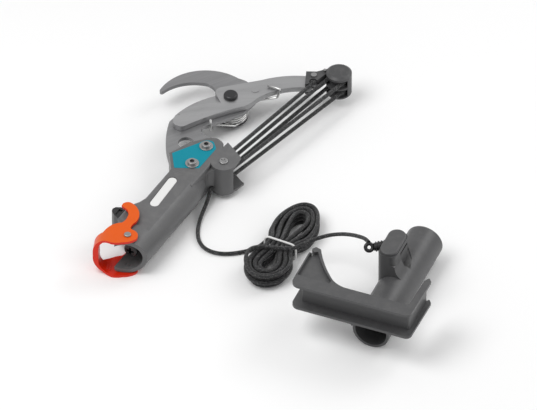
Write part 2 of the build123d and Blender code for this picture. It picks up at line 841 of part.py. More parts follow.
bow_plane = Plane(
    (*beside_bow(0, 0), 0), x_dir=(*bow_way, 0), z_dir=(-bow_way[1], bow_way[0], 0)
)
with BuildPart() as bow_plan:
    with BuildSketch(level(-30)):
        with BuildLine():
            Line((-28.4, 31.2), (-28.6, 34.5))
            ThreePointArc((-28.6, 34.5), (-26.2, 38.2), (-21.1, 39.2))
            ThreePointArc((-21.1, 39.2), (-9.0, 32.2), (-3.7, 16.5))
            ThreePointArc((-3.7, 16.5), (-4.6, 11.8), (-4.2, 7.8))
            ThreePointArc((-4.2, 7.8), (-2.8, 6.0), (-0.3, 5.3))
            ThreePointArc((-0.3, 5.3), (7.6, 1.6), (9.4, -5.0))
            ThreePointArc((9.4, -5.0), (6.3, -10.5), (-0.4, -16.2))
            ThreePointArc((-0.4, -16.2), (-4.8, -19.6), (-9.8, -21.6))
            Line((-9.8, -21.6), beside_bow(24.0, 8.4))
            Line(beside_bow(24.0, 8.4), beside_bow(36.0, 7.0))
            Line(beside_bow(36.0, 7.0), beside_bow(36.0, -5.6))
            Line(beside_bow(36.0, -5.6), beside_bow(25.3, -4.9))
            ThreePointArc(beside_bow(25.3, -4.9), (-20.4, 4.2), (-15.2, 9.4))
            ThreePointArc((-15.2, 9.4), (-14.2, 14.0), (-14.8, 19.5))
            ThreePointArc((-14.8, 19.5), (-18.0, 26.4), (-24.5, 29.8))
            Line((-24.5, 29.8), (-28.4, 31.2))
        make_face()
    extrude(amount=60)

with BuildPart() as lock_bracket:
    with BuildSketch(bow_plane):
        with Locations((bow_reach / 2 - 30, 0)):
            Rectangle(bow_reach + 60, 2 * arm_top)
        fillet([v for v in vertices() if v.X > bow_reach - 5], radius=bow_round)
    extrude(amount=60, both=True)
    with BuildSketch(bow_plane) as window:
        with Locations((window_reach / 2 - 35, 0)):
            Rectangle(window_reach + 70, 2 * (arm_top - arm_thick))
        fillet([v for v in window.vertices() if v.X > 0], radius=window_round)
    extrude(amount=60, both=True, mode=Mode.SUBTRACT)
    add(bow_plan.part, mode=Mode.INTERSECT)
    # small ribs on the lower arm's inner face
    for s in (17.5, 20.5):
        with BuildSketch(level(-arm_top + arm_thick)):
            with Locations(Location((*beside_bow(s, 1.5), 0), bow_angle)):
                Rectangle(1.0, 9.0)
        extrude(amount=0.9)
    add(upright(*rivet_at, -30, rivet_radius + running_gap, 60), mode=Mode.SUBTRACT)
    with BuildSketch(level(-arm_top)):
        with Locations(rivet_at):
            Circle(4.3)
    extrude(amount=2.0, taper=42, mode=Mode.SUBTRACT)
finish(lock_bracket, "lock_bracket")
print("lock_bracket solids", len(lock_bracket.part.solids()), round(lock_bracket.part.volume))

with BuildPart() as lock_rivets:
    with BuildSketch(level(16.6)):
        with Locations(rivet_at):
            Circle(rivet_radius)
    extrude(amount=arm_top + 0.4 - 16.6)
    with BuildSketch(level(arm_top + 0.4)):
        with Locations(rivet_at):
            Circle(3.6)
    extrude(amount=1.3)
    fillet(lock_rivets.edges().group_by(Axis.Z)[-1], radius=0.9)
    with BuildSketch(level(-arm_top + 0.2)):
        with Locations(rivet_at):
            Circle(rivet_radius)
    extrude(amount=arm_top - 0.2 - 16.6)
    with BuildSketch(level(-arm_top + 0.2)):
        with Locations(rivet_at):
            Circle(3.6)
    extrude(amount=1.4, taper=42)
finish(lock_rivets, "lock_rivets")


# Cords: free stretches run through hand-chosen points, the hank is one coiled tube


def cord_radii(points):
    """Bend radius at each inner point, from its shorter run and its turn."""
    radii = []
    for a, b, c in zip(points, points[1:], points[2:]):
        before = Vector(b) - Vector(a)
        after = Vector(c) - Vector(b)
        turn = math.radians(before.get_angle(after))
        radii.append(0.45 * min(before.length, after.length) / math.tan(turn / 2))
    return radii


cord_low = floor + cord_radius
hank_in = (96.0, 87.0, cord_low)
hank_in_angle = 53.0
hank_centre = (121.0, 89.0)
hank_axis_angle = 93.7
head_points = [
    lead_from,
    outlet,
    (21.3, 115.0, -15.6),
    (23.8, 98.5, cord_low + 1.2),
    (30.6, 79.4, cord_low),
    (39.8, 66.4, cord_low),
    (50.5, 59.7, cord_low),
    (63.1, 59.3, cord_low),
    (75.6, 64.9, cord_low),
    (hank_in[0] - 13 * direction(hank_in_angle)[0], hank_in[1] - 13 * direction(hank_in_angle)[1], cord_low),
    hank_in,
]

# The hank in its own axes: a runs along it, b across it to the right
along = direction(hank_axis_angle)
across = direction(hank_axis_angle - 90)
waist_half = 13.6
shoulder_half = 22.0
shoulder_at = 25.0
top_spread = 1.3
end_step = 1.2
bottom_spread = 0.45
top_length = 68.0
bottom_length = 53.0
key_inset = 0.625
layer_step = 4.6
layers = 4
keys_per_layer = 20
climb_keys = 4
waist_lift = 2.4


def hank_point(a, b, z):
    return Vector(
        hank_centre[0] + a * along[0] + b * across[0],
        hank_centre[1] + a * along[1] + b * across[1],
        z,
    )


def hank_way(degrees):
    """Direction in the hank's axes, from across to the right towards along."""
    step = direction(degrees)
    return Vector(
        step[0] * across[0] + step[1] * along[0],
        step[0] * across[1] + step[1] * along[1],
        0,
    )


def hank_key(k, inset, z):
    """Point and direction at key k of a loop, drawn in by the inset."""
    turn = k % 8
    wider = end_step * inset
    wide = shoulder_half - wider
    high = shoulder_at + top_spread * wider
    low = -shoulder_at - bottom_spread * wider
    keys = [
        (0, -(waist_half - inset), 90, waist_lift),
        (high, -wide, 90, 0),
        (top_length - wider, 0, 0, 0),
        (high, wide, -90, 0),
        (0, waist_half - inset, -90, waist_lift),
        (low, wide, -90, 0),
        (-(bottom_length - wider), 0, 180, 0),
        (low, -wide, 90, 0),
    ]
    a, b, heading, lift = keys[turn]
    return hank_point(a, b, z + lift), hank_way(heading)


hank_stations = []
key = 0
for layer in range(layers):
    z = cord_low + layer * layer_step
    for k in range(keys_per_layer + 1):
        inset = key_inset * k if layer % 2 == 0 else key_inset * (keys_per_layer - k)
        if key > 0:
            hank_stations.append(hank_key(key, inset, z))
        key += 1
    for k in range(1, climb_keys):
        climbed = k / climb_keys
        hank_stations.append(hank_key(key, inset, z + climbed * layer_step))
        key += 1
way_in = Vector(*direction(hank_in_angle), 0)
straight_end = 2 * cord_radius
last_station = hank_stations.pop()
hank_top = cord_low + layers * layer_step
hank_stations.append((Vector(last_station[0].X, last_station[0].Y, hank_top + 1.0), last_station[1]))
out_angle = 56.0
hank_out = hank_point(-9.0, 17.5, hank_top + 3.8)
way_out = (hank_way(out_angle) + Vector(0, 0, 0.14)).normalized()
first_bend = Vector(hank_in) + way_in * straight_end
last_bend = hank_out - way_out * straight_end
loops = arcs_through([(first_bend, way_in)] + hank_stations + [(last_bend, way_out)])
hank_edges = [Edge.make_line(Vector(hank_in), first_bend)] + loops + [Edge.make_line(last_bend, hank_out)]
print("cord_hank loops", round((len(hank_stations) - 1) / 8, 1))
print("cord_hank length mm", round(sum(edge.length for edge in hank_edges)))
print("cord_hank least gap to itself", least_gap(hank_edges, cord_radius))
print("cord_hank tightest arc", round(min(e.radius for e in loops if e.geom_type == GeomType.CIRCLE), 1))


def cord_tube(points):
    """Solid of a cord through hand-chosen points, with its bends rounded."""
    radii = cord_radii(points)
    print("  bend radii", [round(r, 1) for r in radii])
    path = FilletPolyline(*points, radius=radii)
    with BuildPart() as tube:
        with BuildSketch(Plane(path @ 0, z_dir=path % 0)):
            Circle(cord_radius)
        sweep(path=path)
    ideal = math.pi * cord_radius**2 * path.length
    print("  length", round(path.length, 1), "volume ratio", round(tube.part.volume / ideal, 3))
    return tube


cord_head = cord_tube(head_points)
finish(cord_head, "cord_head")

with BuildPart() as cord_hank:
    with BuildLine():
        add(hank_edges)
    with BuildSketch(Plane(Vector(hank_in), z_dir=way_in)):
        Circle(cord_radius)
    sweep()
finish(cord_hank, "cord_hank")
hank_length = sum(e.length for e in hank_edges)
print("cord_hank volume ratio", round(cord_hank.part.volume / (math.pi * cord_radius**2 * hank_length), 3))

# Wire tie round the hank's waist
tie_wire = 1.1
tie_half = waist_half + cord_radius + tie_wire + 0.3
tie_low = floor + tie_wire
tie_high = cord_low + (layers - 1) * layer_step + waist_lift + cord_radius + tie_wire + 0.3
tie_plane = Plane(
    hank_point(0, 0, (tie_low + tie_high) / 2), x_dir=(*across, 0), z_dir=(*along, 0)
)
tie_rise = (tie_high - tie_low) / 2
tie_corner = cord_radius + tie_wire + 0.3
with BuildPart() as hank_tie:
    with BuildLine(tie_plane) as tie_loop:
        FilletPolyline(
            (-tie_half, -tie_rise), (tie_half, -tie_rise), (tie_half, tie_rise), (-tie_half, tie_rise),
            close=True, radius=tie_corner,
        )
    with BuildSketch(Plane(tie_loop.wire() @ 0, z_dir=tie_loop.wire() % 0)):
        Circle(tie_wire)
    sweep()
finish(hank_tie, "hank_tie")

# Grip, in its own axes: x across the sleeve, y along it, z up from the sleeve's axis
grip_way = direction(grip_angle)
grip = Plane(grip_at, x_dir=(*grip_way, 0), z_dir=(0, 0, 1))
sleeve_round = Plane(grip_at, x_dir=(*grip_way, 0), z_dir=(grip_way[1], -grip_way[0], 0))


def on_grip(x, y, z):
    return grip.from_local_coords(Vector(x, y, z))


post_left = -19.3
post_right = 0.0
post_front = 63.8
post_back = 103.5
post_high = 44.2
post_corner = 6.0
cap_low = 44.2
cap_high = 47.6
bar_front = -13.5
bar_rear = 2.0
saddle_high = 24.0
eye_at = (-32.5, 76.7, 38.0)
eye_radius = 5.8
barrel_way = direction(30.0)

wedge_outline = [
    (0.6, 84.0), (9.0, 84.0), (5.0, 97.0), (-5.0, 112.0), (-13.0, 124.0), (-14.5, 121.0), (-6.0, 104.5),
]
fillet_deep = 18.0
slit_size = (7.0, 18.0)
slit_low = 36.0
slit_high = 39.0
slit_y = 88.0
frame_screw_at = [(-6.0, 15.0), (6.0, 15.0)]
frame_screw_radius = 1.8

with BuildPart() as grip_sleeve:
    with BuildSketch(sleeve_round):
        Circle(sleeve_radius)
        Circle(sleeve_bore, mode=Mode.SUBTRACT)
    extrude(amount=-sleeve_length)
    # wedge slot that jams the cord
    with BuildSketch(grip.offset(6)):
        with BuildLine():
            Polyline(*wedge_outline, close=True)
        make_face()
    extrude(amount=20, mode=Mode.SUBTRACT)
    with BuildSketch(grip.offset(16.9)):
        with Locations(frame_screw_at):
            Circle(frame_screw_radius)
    extrude(amount=10, mode=Mode.SUBTRACT)
finish(grip_sleeve, "grip_sleeve")
print("grip_sleeve solids", len(grip_sleeve.part.solids()), grip_sleeve.part.bounding_box())

# Post, seated on the sleeve's left side, with a fillet towards the sleeve's top
with BuildPart() as cord_post:
    with BuildSketch(grip):
        with Locations(((post_left + post_right) / 2, (post_front + post_back) / 2)):
            RectangleRounded(post_right - post_left, post_back - post_front, post_corner)
    extrude(amount=post_high)
    front_way = on_grip(0, -1, 0) - on_grip(0, 0, 0)
    with BuildSketch(Plane(on_grip(0, post_front, 0), x_dir=grip.x_dir, z_dir=front_way)):
        with BuildLine():
            Line((-6.0, 16.0), (-6.0, 34.0))
            Line((-6.0, 34.0), (post_right, 32.0))
            ThreePointArc((post_right, 32.0), (2.6, 22.6), (9.6, 16.6))
            Line((9.6, 16.6), (-6.0, 16.0))
        make_face()
    extrude(amount=-fillet_deep)
    with BuildSketch(sleeve_round):
        Circle(sleeve_radius)
    extrude(amount=-sleeve_length, mode=Mode.SUBTRACT)
    # slit in the post's right face
    with BuildSketch(grip.offset(slit_low)):
        with Locations((post_right, slit_y)):
            Rectangle(*slit_size)
    extrude(amount=slit_high - slit_low, mode=Mode.SUBTRACT)
finish(cord_post, "cord_post")
print("cord_post solids", len(cord_post.part.solids()), cord_post.part.bounding_box())

with BuildPart() as post_cap:
    with BuildSketch(grip.offset(cap_low)):
        with Locations(Location(((post_left + post_right) / 2, (post_front + post_back) / 2, 0), 90)):
            SlotOverall(post_back - post_front - 0.6, post_right - post_left - 1.0)
    extrude(amount=cap_high - cap_low)
    fillet(post_cap.edges().group_by(Axis.Z)[-1], radius=1.2)
finish(post_cap, "post_cap")

# Winder frame: a U-shaped channel that stands on the sleeve's front end
dish_depth = 4.0
web_front = -3.5
arm_web = 42.0
left_web = -73.0
with BuildPart() as winder_frame:
    with BuildSketch(grip.offset(frame_low)):
        with BuildLine():
            Polyline(
                (-28.3, bar_rear), (39.5, bar_rear), (40.5, 41.0), (44.0, 46.6), (47.5, 42.0), (46.5, bar_front),
                (-81.0, bar_front), (-81.0, 37.5), (-74.5, 37.6), (-80.3, 42.9), (-77.5, 47.3), (-71.5, 45.5),
            )
            ThreePointArc((-71.5, 45.5), (-57.0, 22.6), (-44.6, 8.6))
            ThreePointArc((-44.6, 8.6), (-37.0, 4.0), (-28.3, bar_rear))
        make_face()
        fillet([v for v in vertices() if v.X < -78 and v.Y < 0], radius=8)
        fillet([v for v in vertices() if v.X > 40 and v.Y < 0], radius=6)
        fillet([v for v in vertices() if v.Y > 38], radius=1.2)
        fillet([v for v in vertices() if abs(v.X - 39.5) < 0.5 and v.Y < 10], radius=3)
    extrude(amount=frame_high - frame_low)
    # channel open outwards: along the bar and right arm, then a lower one along the left arm
    with BuildSketch(grip.offset(frame_low + flange)):
        with BuildLine():
            Polyline(
                (-100, -30), (60, -30), (60, 60), (arm_web, 60), (arm_web, web_front), (left_web, web_front),
                (left_web, 3), (-100, 3), close=True,
            )
        make_face()
        fillet([v for v in vertices() if abs(v.X) < 80 and abs(v.Y - web_front) < 0.1], radius=2.0)
    extrude(amount=frame_high - frame_low - 2 * flange, mode=Mode.SUBTRACT)
    with BuildSketch(grip.offset(frame_low + flange)):
        with BuildLine():
            Polyline((-100, 3), (left_web, 3), (left_web, 35.0), (-100, 35.0), close=True)
        make_face()
    extrude(amount=frame_high - frame_low - 2 * flange - dish_depth, mode=Mode.SUBTRACT)
    # dished top of the left arm, inside thin rims
    with BuildSketch(grip.offset(frame_high - dish_depth)):
        with BuildLine():
            Line((-45.0, 2.4), (-79.6, 2.4))
            Line((-79.6, 2.4), (-79.6, 36.2))
            Line((-79.6, 36.2), (-73.0, 42.0))
            ThreePointArc((-73.0, 42.0), (-58.9, 21.2), (-45.0, 6.6))
            Line((-45.0, 6.6), (-45.0, 2.4))
        make_face()
        fillet([v for v in vertices() if v.X < -70], radius=1.5)
    extrude(amount=dish_depth + 2, mode=Mode.SUBTRACT)
    # foot on the sleeve, hidden behind the bar, and a gusset under the bar on the left
    with BuildSketch(grip.offset(8)):
        with Locations((0, (bar_rear + 24) / 2)):
            RectangleRounded(29, 24 - bar_rear, 2)
        with Locations((0, bar_rear + 2)):
            Rectangle(29, 5)
    extrude(amount=saddle_high - 8)
    with BuildSketch(sleeve_round.offset(7)):
        with BuildLine():
            Line((-32.0, frame_low + 0.5), (-10.0, frame_low + 0.5))
            Line((-10.0, frame_low + 0.5), (-17.6, 8.0))
            ThreePointArc((-17.6, 8.0), (-23.0, 14.0), (-32.0, frame_low + 0.5))
        make_face()
    extrude(amount=-(7 + bar_rear))
    with BuildSketch(sleeve_round):
        Circle(sleeve_radius)
    extrude(amount=-sleeve_length, mode=Mode.SUBTRACT)
    with BuildSketch(grip):
        with Locations(frame_screw_at):
            Circle(frame_screw_radius)
    extrude(amount=60, mode=Mode.SUBTRACT)
finish(winder_frame, "winder_frame")
print("winder_frame solids", len(winder_frame.part.solids()), winder_frame.part.bounding_box())

with BuildPart() as winder_screws:
    with BuildSketch(grip.offset(16.9)):
        with Locations(frame_screw_at):
            Circle(frame_screw_radius)
    extrude(amount=saddle_high - 16.9)
    with BuildSketch(grip.offset(saddle_high)):
        with Locations(frame_screw_at):
            Circle(3.4)
    extrude(amount=2.0)
finish(winder_screws, "winder_screws")

# Pull cord from the hank up to the grip, and the ribbed connector with its eye
eye = on_grip(*eye_at)
grip_points = [
    tuple(hank_out),
    tuple(hank_out + way_out * 10),
    (153.2, 101.5, 5.0),
    (166.0, 108.5, 11.0),
    (180.5, 109.8, 18.0),
    (194.5, 106.5, 25.5),
    (206.5, 101.5, 32.0),
    (214.5, 97.0, 36.6),
    (eye.X - 1.4, eye.Y + 1.8, eye.Z + 4.6),
]
cord_grip = cord_tube(grip_points)
finish(cord_grip, "cord_grip")

barrel_plane = Plane(
    eye, x_dir=(0, 0, 1), z_dir=on_grip(*barrel_way, 0) - on_grip(0, 0, 0)
)
barrel_length = 17.0
eye_tilt = 0.9
eye_plane = Plane(eye, x_dir=barrel_plane.z_dir, z_dir=eye_tilt * barrel_plane.x_dir - barrel_plane.y_dir)
with BuildPart() as eye_ring:
    with BuildSketch(eye_plane.offset(-2.6)):
        Circle(eye_radius)
    extrude(amount=5.2)
    fillet(eye_ring.edges(), radius=1.3)

with BuildPart() as cord_connector:
    with BuildSketch(barrel_plane.offset(3.5)):
        Circle(4.6)
    with BuildSketch(barrel_plane.offset(barrel_length)):
        Circle(6.0)
    loft()
    for k, radius in enumerate((5.8, 6.2, 6.4)):
        with BuildSketch(barrel_plane.offset(6.4 + 2.9 * k)):
            Circle(radius)
        extrude(amount=1.5)
    add(eye_ring.part)
    with BuildSketch(eye_plane.offset(-5)):
        Circle(1.7)
    extrude(amount=10, mode=Mode.SUBTRACT)
    add(grip_sleeve.part, mode=Mode.SUBTRACT)
    add(post_cap.part, mode=Mode.SUBTRACT)
    add(cord_post.part, mode=Mode.SUBTRACT)
    add(cord_grip.part, mode=Mode.SUBTRACT)
finish(cord_connector, "cord_connector")
print("cord_connector solids", len(cord_connector.part.solids()), cord_connector.part.bounding_box())
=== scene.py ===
import json
import math

import bmesh
import bpy
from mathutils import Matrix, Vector


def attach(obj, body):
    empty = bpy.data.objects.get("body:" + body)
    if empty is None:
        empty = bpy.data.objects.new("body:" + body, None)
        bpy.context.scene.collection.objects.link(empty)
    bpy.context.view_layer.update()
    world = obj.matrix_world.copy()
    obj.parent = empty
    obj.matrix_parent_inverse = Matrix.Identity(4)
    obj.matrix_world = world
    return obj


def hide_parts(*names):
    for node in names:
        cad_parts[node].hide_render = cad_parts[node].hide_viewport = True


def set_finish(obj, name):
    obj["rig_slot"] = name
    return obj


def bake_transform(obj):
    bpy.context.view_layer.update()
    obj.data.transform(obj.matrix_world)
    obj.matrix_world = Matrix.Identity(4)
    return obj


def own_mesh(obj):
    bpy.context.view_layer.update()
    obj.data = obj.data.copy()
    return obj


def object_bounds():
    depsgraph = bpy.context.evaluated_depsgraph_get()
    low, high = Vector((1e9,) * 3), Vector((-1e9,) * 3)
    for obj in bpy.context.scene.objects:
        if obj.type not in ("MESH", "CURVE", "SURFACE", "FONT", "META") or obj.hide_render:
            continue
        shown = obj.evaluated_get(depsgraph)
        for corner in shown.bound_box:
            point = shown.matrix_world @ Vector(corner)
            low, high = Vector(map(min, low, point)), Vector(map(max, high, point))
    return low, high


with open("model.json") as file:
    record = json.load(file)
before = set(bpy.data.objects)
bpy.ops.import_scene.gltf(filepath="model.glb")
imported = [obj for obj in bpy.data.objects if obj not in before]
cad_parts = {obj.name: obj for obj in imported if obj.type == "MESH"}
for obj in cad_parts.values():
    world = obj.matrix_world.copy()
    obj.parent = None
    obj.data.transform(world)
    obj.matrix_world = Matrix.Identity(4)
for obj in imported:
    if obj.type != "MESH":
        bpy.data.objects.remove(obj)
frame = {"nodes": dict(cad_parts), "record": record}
cad_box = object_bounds()
nodes = frame["nodes"]
MM = 0.001


def mm(x, y, z):
    """A point given in millimetres, in the part's own axes."""
    return Vector((x, y, z)) * MM


def heading(degrees):
    return math.cos(math.radians(degrees)), math.sin(math.radians(degrees))


# ---------------------------------------------------------------- camera and light
scene = bpy.context.scene
scene.view_settings.view_transform = "Standard"
look_at = mm(85.2, 127.5, 0)
photo_turn, photo_height = 30.0, 42.0
camera_reach = 17.0
frame_width = 0.537


def place_camera():
    turn, height = math.radians(photo_turn), math.radians(photo_height)
    back = Vector((math.sin(turn) * math.cos(height), -math.cos(turn) * math.cos(height), math.sin(height)))
    data = bpy.data.cameras.new("photo camera")
    data.sensor_width = 36.0
    data.lens = data.sensor_width * camera_reach / frame_width
    data.clip_start, data.clip_end = 1.0, 200.0
    camera = bpy.data.objects.new("photo_camera", data)
    scene.collection.objects.link(camera)
    camera.rotation_mode = "QUATERNION"
    camera.location = look_at + back * camera_reach
    camera.rotation_quaternion = (-back).to_track_quat("-Z", "Y")
    scene.camera = camera


def soft_lamp(name, azimuth, height, distance, size, watts):
    turn, rise = math.radians(azimuth), math.radians(height)
    way = Vector((math.sin(turn) * math.cos(rise), -math.cos(turn) * math.cos(rise), math.sin(rise)))
    data = bpy.data.lights.new(name, "AREA")
    data.shape = "DISK"
    data.size = size
    data.energy = watts
    lamp = bpy.data.objects.new(name, data)
    scene.collection.objects.link(lamp)
    lamp.location = look_at + way * distance
    lamp.rotation_mode = "QUATERNION"
    lamp.rotation_quaternion = (-way).to_track_quat("-Z", "Y")


place_camera()
soft_lamp("key_softbox", -38, 62, 1.5, 1.0, 11.0)
soft_lamp("rim_softbox", 150, 40, 1.5, 0.8, 4.5)
soft_lamp("side_softbox", 95, 25, 1.6, 0.9, 2.5)


# ---------------------------------------------------------------- shared surface effects
def effect(name, inputs, outputs):
    """An empty shader node group with named inputs and outputs."""
    tree = bpy.data.node_groups.new(name, "ShaderNodeTree")
    for label, kind, value in inputs:
        socket = tree.interface.new_socket(label, in_out="INPUT", socket_type="NodeSocket" + kind)
        socket.default_value = value
    for label, kind in outputs:
        tree.interface.new_socket(label, in_out="OUTPUT", socket_type="NodeSocket" + kind)
    return tree, tree.nodes.new("NodeGroupInput").outputs, tree.nodes.new("NodeGroupOutput").inputs


def put(tree, kind, settings=None, **sockets):
    """A node with its settings, and its inputs given by name as values or links."""
    node = tree.nodes.new("ShaderNode" + kind)
    for key, value in (settings or {}).items():
        setattr(node, key, value)
    for key, value in sockets.items():
        socket = node.inputs[int(key[1:])] if key[0] == "_" else node.inputs[key.replace("_", " ")]
        if isinstance(value, bpy.types.NodeSocket):
            tree.links.new(value, socket)
        else:
            socket.default_value = value
    return node


def sums(tree, operation, a, b=0.0, c=0.0):
    return put(tree, "Math", {"operation": operation}, _0=a, _1=b, _2=c).outputs[0]


def stretch(tree, value, low, high, to_low=0.0, to_high=1.0):
    node = put(tree, "MapRange", {"clamp": True})
    for index, item in enumerate((value, low, high, to_low, to_high)):
        if isinstance(item, bpy.types.NodeSocket):
            tree.links.new(item, node.inputs[index])
        else:
            node.inputs[index].default_value = item
    return node.outputs[0]


def moulding_grain():
    """Fine spark texture of a moulded part, cloudy tone and a few dull scuffs."""
    tree, inside, out = effect(
        "moulding grain",
        [("Grain", "Float", 1400.0), ("Cloud", "Float", 22.0), ("Scuff", "Float", 60.0)],
        [("Height", "Float"), ("Cloud", "Float"), ("Scuff", "Float")],
    )
    place = put(tree, "TexCoord").outputs["Object"]
    spark = put(tree, "TexNoise", Vector=place, Scale=inside["Grain"], Detail=3.0, Roughness=0.65)
    cloud = put(tree, "TexNoise", Vector=place, Scale=inside["Cloud"], Detail=4.0, Roughness=0.55)
    rubbed = put(
        tree, "TexNoise", Vector=place, Scale=inside["Scuff"], Detail=6.0, Roughness=0.7, Distortion=1.2
    )
    tree.links.new(spark.outputs[0], out["Height"])
    tree.links.new(stretch(tree, cloud.outputs[0], 0.3, 0.7), out["Cloud"])
    tree.links.new(stretch(tree, rubbed.outputs[0], 0.6, 0.72), out["Scuff"])
    return tree


def grinding_lines():
    """Fine parallel lines left by grinding, with broad bands of sheen."""
    tree, inside, out = effect(
        "grinding lines",
        [("Turn", "Vector", (0, 0, 0)), ("Fineness", "Float", 1.0)],
        [("Lines", "Float"), ("Band", "Float"), ("Spots", "Float")],
    )
    place = put(tree, "TexCoord").outputs["Object"]
    turned = put(tree, "Mapping", Vector=place, Rotation=inside["Turn"]).outputs[0]
    drawn = put(tree, "Mapping", Vector=turned, Scale=(18.0, 1500.0, 600.0)).outputs[0]
    lines = put(tree, "TexNoise", Vector=drawn, Scale=inside["Fineness"], Detail=3.0, Roughness=0.6)
    wide = put(tree, "Mapping", Vector=turned, Scale=(9.0, 90.0, 60.0)).outputs[0]
    band = put(tree, "TexNoise", Vector=wide, Scale=1.0, Detail=3.0)
    spots = put(tree, "TexNoise", Vector=place, Scale=170.0, Detail=5.0, Roughness=0.75)
    tree.links.new(lines.outputs[0], out["Lines"])
    tree.links.new(stretch(tree, band.outputs[0], 0.35, 0.65), out["Band"])
    tree.links.new(stretch(tree, spots.outputs[0], 0.62, 0.74), out["Spots"])
    return tree


def braid_weave():
    """Two sets of strands that cross round a cord, from its own along and round map."""
    tree, inside, out = effect(
        "braid weave",
        [("Strands", "Float", 8.0), ("Lay", "Float", 1.0)],
        [("Height", "Float"), ("Fleck", "Float"), ("Shade", "Float")],
    )
    path = put(tree, "UVMap", {"uv_map": "cord_map"}).outputs[0]
    split = put(tree, "SeparateXYZ", Vector=path).outputs
    run = sums(tree, "MULTIPLY", split[0], inside["Lay"])
    around = sums(tree, "MULTIPLY", split[1], inside["Strands"])
    right = sums(tree, "SINE", sums(tree, "MULTIPLY", sums(tree, "ADD", around, run), math.pi))
    left = sums(tree, "SINE", sums(tree, "MULTIPLY", sums(tree, "SUBTRACT", around, run), math.pi))
    raised = sums(tree, "MULTIPLY", sums(tree, "ABSOLUTE", right), sums(tree, "ABSOLUTE", left))
    stitch = put(tree, "CombineXYZ", _0=sums(tree, "FLOOR", sums(tree, "ADD", around, run)),
                 _1=sums(tree, "FLOOR", sums(tree, "SUBTRACT", around, run))).outputs[0]
    pick = put(tree, "TexWhiteNoise", {"noise_dimensions": "2D"}, Vector=stitch).outputs[0]
    light = sums(tree, "MULTIPLY", stretch(tree, pick, 0.76, 0.8), stretch(tree, raised, 0.25, 0.6))
    place = put(tree, "TexCoord").outputs["Object"]
    fuzz = put(tree, "TexNoise", Vector=place, Scale=2600.0, Detail=2.0).outputs[0]
    tree.links.new(sums(tree, "ADD", raised, sums(tree, "MULTIPLY", fuzz, 0.35)), out["Height"])
    tree.links.new(light, out["Fleck"])
    # Painted shade: the low grooves between raised strands come out darker than the crowns.
    tree.links.new(stretch(tree, raised, 0.0, 0.7), out["Shade"])
    return tree


def settled_dust():
    """Thin dust on what faces up, broken up by noise."""
    tree, inside, out = effect(
        "settled dust", [("Amount", "Float", 0.3)], [("Dust", "Float")]
    )
    facing = put(tree, "SeparateXYZ", Vector=put(tree, "TexCoord").outputs["Normal"]).outputs[2]
    place = put(tree, "TexCoord").outputs["Object"]
    speck = put(tree, "TexNoise", Vector=place, Scale=110.0, Detail=6.0, Roughness=0.7).outputs[0]
    up = stretch(tree, facing, 0.3, 1.0)
    thick = sums(tree, "MULTIPLY", stretch(tree, speck, 0.45, 0.75), inside["Amount"])
    tree.links.new(sums(tree, "MULTIPLY", up, thick), out["Dust"])
    return tree


GRAIN = moulding_grain()
LINES = grinding_lines()
BRAID = braid_weave()
DUST = settled_dust()


# ---------------------------------------------------------------- finishes
def shades(tree, amount, low, high):
    mix = put(tree, "Mix", {"data_type": "RGBA"})
    mix.inputs[6].default_value = (*low, 1.0)
    mix.inputs[7].default_value = (*high, 1.0)
    tree.links.new(amount, mix.inputs[0])
    return mix.outputs[2]


def over(tree, amount, below, colour):
    mix = put(tree, "Mix", {"data_type": "RGBA"})
    tree.links.new(below, mix.inputs[6])
    mix.inputs[7].default_value = (*colour, 1.0)
    tree.links.new(amount, mix.inputs[0])
    return mix.outputs[2]


def place_group(tree, group, **sockets):
    node = tree.nodes.new("ShaderNodeGroup")
    node.node_tree = group
    for key, value in sockets.items():
        node.inputs[key].default_value = value
    return node.outputs


def new_finish(name):
    material = bpy.data.materials.new(name)
    material.use_nodes = True
    tree = material.node_tree
    return material, tree, tree.nodes["Principled BSDF"]


def moulded(name, colour, deep, rough, grain=0.05, scuffed=0.12, dust=0.1, specular=0.4, painted_shade_colour=None):
    """Moulded plastic: cloudy tone, spark texture, scuffs and a little dust; an optional painted shade darkens
    side faces and low parts.
    """
    material, tree, shader = new_finish(name)
    marks = place_group(tree, GRAIN)
    tone = shades(tree, marks["Cloud"], deep, colour)
    # Painted shade: side and downward faces, and the lowest few millimetres of the part, are painted towards the
    # darker shade colour.
    if painted_shade_colour:
        facing = put(tree, "SeparateXYZ", Vector=put(tree, "TexCoord").outputs["Normal"]).outputs[2]
        height = put(tree, "SeparateXYZ", Vector=put(tree, "TexCoord").outputs["Object"]).outputs[2]
        painted_shade = sums(tree, "MAXIMUM", stretch(tree, facing, 0.75, 0.2), stretch(tree, height, 0.012, 0.002))
        tone = over(tree, painted_shade, tone, painted_shade_colour)
    rubbed = tuple(min(1.0, c * 1.5 + 0.02) for c in colour)
    worn = over(tree, sums(tree, "MULTIPLY", marks["Scuff"], scuffed), tone, rubbed)
    dusty = over(tree, place_group(tree, DUST, Amount=dust)["Dust"], worn, (0.42, 0.41, 0.39))
    tree.links.new(dusty, shader.inputs["Base Color"])
    dulled = stretch(tree, marks["Scuff"], 0, 1, rough, min(1, rough + 0.14))
    tree.links.new(dulled, shader.inputs["Roughness"])
    shader.inputs["Specular IOR Level"].default_value = specular
    bump = put(tree, "Bump", Strength=grain, Distance=0.0004, Height=marks["Height"])
    tree.links.new(bump.outputs[0], shader.inputs["Normal"])
    return material


